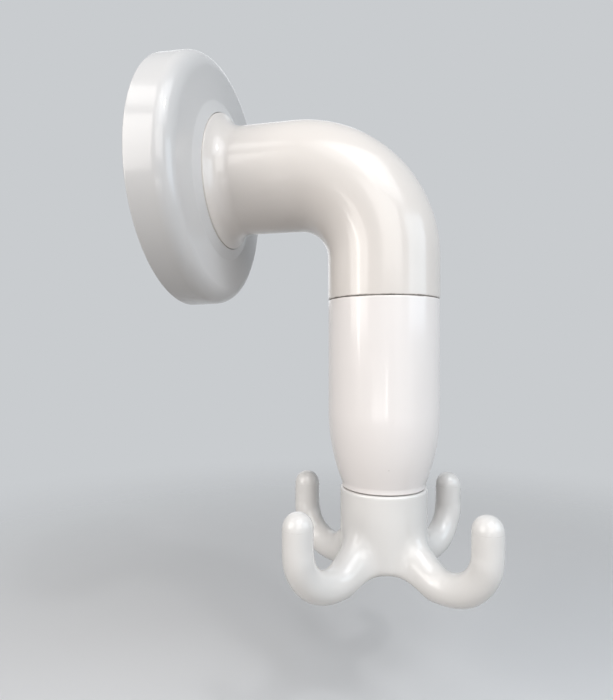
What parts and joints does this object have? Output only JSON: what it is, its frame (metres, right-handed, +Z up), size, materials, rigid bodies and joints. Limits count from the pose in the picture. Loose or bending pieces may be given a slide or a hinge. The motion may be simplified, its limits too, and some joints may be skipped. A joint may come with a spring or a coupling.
{
  "type": "wall hook",
  "caption": "White moulded wall hook: a round disc, a pipe elbow that turns down, a tapered tube and a swivelling claw of J-shaped prongs.",
  "frame": {"origin": "on the wall plane, on the axis of the horizontal pipe and the centre of the disc", "axes": "+Y into the wall, +Z up along the wall, the hook stands out towards -Y"},
  "size_m": [0.0794, 0.0985, 0.1651],
  "materials": {
    "disc": "smooth glossy white moulding",
    "pipe": "smooth glossy warm white moulding",
    "claw": "smooth glossy white moulding",
    "plate": "plain matte moulding",
    "pad": "soft closed-cell foam",
    "bearing": "natural nylon",
    "screws": "zinc-plated steel"
  },
  "bodies": {
    "wall_arm": {"adhesive_pad": "pad", "back_plate": "plate", "plate_screw_1": "screws", "plate_screw_2": "screws", "plate_screw_3": "screws", "wall_disc": "disc", "elbow_pipe": "pipe", "elbow_screw_1": "screws", "elbow_screw_2": "screws", "elbow_screw_3": "screws", "elbow_screw_4": "screws", "lower_tube": "pipe", "bearing_washer": "bearing"},
    "claw": {"claw_head": "claw", "retaining_washer": "screws", "swivel_screw": "screws"}
  },
  "joints": [
    {"name": "claw_swivel", "type": "hinge", "parent": "wall_arm", "child": "claw", "pos_m": [0, -0.0655, -0.09655], "axis": [0, 0, 1], "continuous": true}
  ]
}
